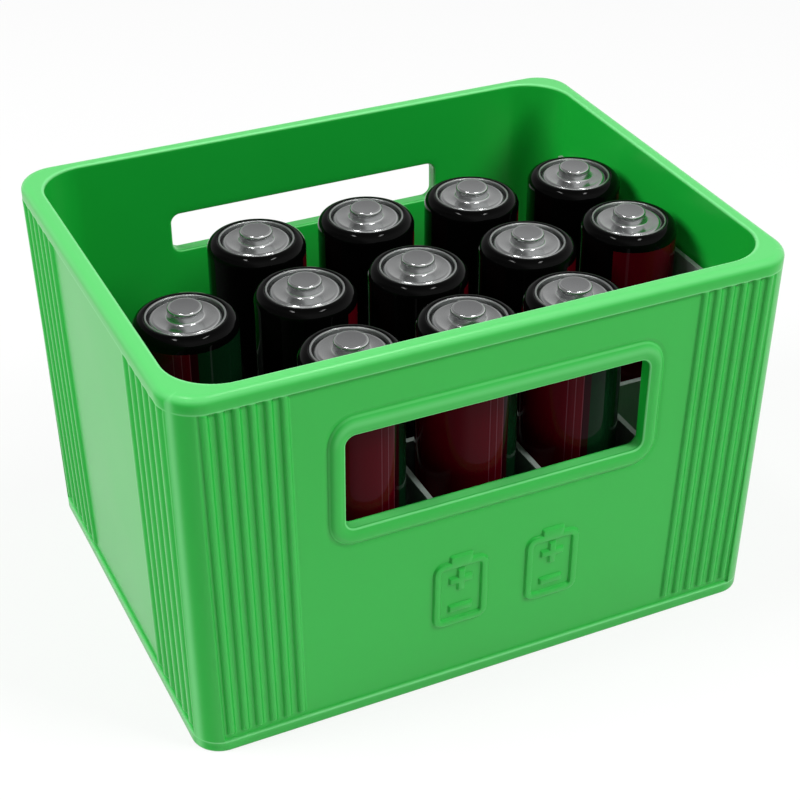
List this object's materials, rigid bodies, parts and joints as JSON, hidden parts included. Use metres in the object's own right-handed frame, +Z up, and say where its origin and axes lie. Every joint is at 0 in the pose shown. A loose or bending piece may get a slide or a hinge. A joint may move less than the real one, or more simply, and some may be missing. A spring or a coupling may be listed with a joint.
{
  "type": "battery storage crate",
  "caption": "Open-top moulded crate with grip slots in its long walls and a lift-out divider grid that holds round battery cells upright.",
  "frame": {"origin": "centre of the crate's footprint on the table", "axes": "+X along the long side, front wall at -Y, +Z up"},
  "size_m": [0.092, 0.071, 0.059],
  "materials": {
    "crate_plastic": "semi-gloss injection moulding, green all through",
    "strip_plastic": "thin grey sheet plastic with a fine matt grain",
    "cell_jacket": "glossy printed wrap, black top band over dark red and dark green fields",
    "cell_can": "drawn zinc-coloured can, its rolled lip bare",
    "cell_washer": "black insulating washer",
    "cell_contact": "nickel-plated steel, brushed by handling"
  },
  "bodies": {
    "crate": {"crate": "crate_plastic"},
    "divider_insert": {"end_panel_left": "strip_plastic", "end_panel_right": "strip_plastic", "long_strip_1": "strip_plastic", "long_strip_2": "strip_plastic", "long_strip_3": "strip_plastic", "cross_strip_1": "strip_plastic", "cross_strip_2": "strip_plastic", "cross_strip_3": "strip_plastic", "cross_strip_4": "strip_plastic"},
    "cell_01": {"cell_01_jacket": "cell_jacket", "cell_01_can": "cell_can", "cell_01_washer": "cell_washer", "cell_01_contact_cap": "cell_contact"},
    "cell_02": {"cell_02_jacket": "cell_jacket", "cell_02_can": "cell_can", "cell_02_washer": "cell_washer", "cell_02_contact_cap": "cell_contact"},
    "cell_03": {"cell_03_jacket": "cell_jacket", "cell_03_can": "cell_can", "cell_03_washer": "cell_washer", "cell_03_contact_cap": "cell_contact"},
    "cell_04": {"cell_04_jacket": "cell_jacket", "cell_04_can": "cell_can", "cell_04_washer": "cell_washer", "cell_04_contact_cap": "cell_contact"},
    "cell_05": {"cell_05_jacket": "cell_jacket", "cell_05_can": "cell_can", "cell_05_washer": "cell_washer", "cell_05_contact_cap": "cell_contact"},
    "cell_06": {"cell_06_jacket": "cell_jacket", "cell_06_can": "cell_can", "cell_06_washer": "cell_washer", "cell_06_contact_cap": "cell_contact"},
    "cell_07": {"cell_07_jacket": "cell_jacket", "cell_07_can": "cell_can", "cell_07_washer": "cell_washer", "cell_07_contact_cap": "cell_contact"},
    "cell_08": {"cell_08_jacket": "cell_jacket", "cell_08_can": "cell_can", "cell_08_washer": "cell_washer", "cell_08_contact_cap": "cell_contact"},
    "cell_09": {"cell_09_jacket": "cell_jacket", "cell_09_can": "cell_can", "cell_09_washer": "cell_washer", "cell_09_contact_cap": "cell_contact"},
    "cell_10": {"cell_10_jacket": "cell_jacket", "cell_10_can": "cell_can", "cell_10_washer": "cell_washer", "cell_10_contact_cap": "cell_contact"},
    "cell_11": {"cell_11_jacket": "cell_jacket", "cell_11_can": "cell_can", "cell_11_washer": "cell_washer", "cell_11_contact_cap": "cell_contact"},
    "cell_12": {"cell_12_jacket": "cell_jacket", "cell_12_can": "cell_can", "cell_12_washer": "cell_washer", "cell_12_contact_cap": "cell_contact"}
  },
  "joints": [
    {"name": "insert_lift", "type": "slide", "parent": "crate", "child": "divider_insert", "axis": [0, 0, 1], "range_m": [0, 0.058]},
    {"name": "cell_01_lift", "type": "slide", "parent": "crate", "child": "cell_01", "axis": [0, 0, 1], "range_m": [0, 0.058]},
    {"name": "cell_02_lift", "type": "slide", "parent": "crate", "child": "cell_02", "axis": [0, 0, 1], "range_m": [0, 0.058]},
    {"name": "cell_03_lift", "type": "slide", "parent": "crate", "child": "cell_03", "axis": [0, 0, 1], "range_m": [0, 0.058]},
    {"name": "cell_04_lift", "type": "slide", "parent": "crate", "child": "cell_04", "axis": [0, 0, 1], "range_m": [0, 0.058]},
    {"name": "cell_05_lift", "type": "slide", "parent": "crate", "child": "cell_05", "axis": [0, 0, 1], "range_m": [0, 0.058]},
    {"name": "cell_06_lift", "type": "slide", "parent": "crate", "child": "cell_06", "axis": [0, 0, 1], "range_m": [0, 0.058]},
    {"name": "cell_07_lift", "type": "slide", "parent": "crate", "child": "cell_07", "axis": [0, 0, 1], "range_m": [0, 0.058]},
    {"name": "cell_08_lift", "type": "slide", "parent": "crate", "child": "cell_08", "axis": [0, 0, 1], "range_m": [0, 0.058]},
    {"name": "cell_09_lift", "type": "slide", "parent": "crate", "child": "cell_09", "axis": [0, 0, 1], "range_m": [0, 0.058]},
    {"name": "cell_10_lift", "type": "slide", "parent": "crate", "child": "cell_10", "axis": [0, 0, 1], "range_m": [0, 0.058]},
    {"name": "cell_11_lift", "type": "slide", "parent": "crate", "child": "cell_11", "axis": [0, 0, 1], "range_m": [0, 0.058]},
    {"name": "cell_12_lift", "type": "slide", "parent": "crate", "child": "cell_12", "axis": [0, 0, 1], "range_m": [0, 0.058]}
  ]
}
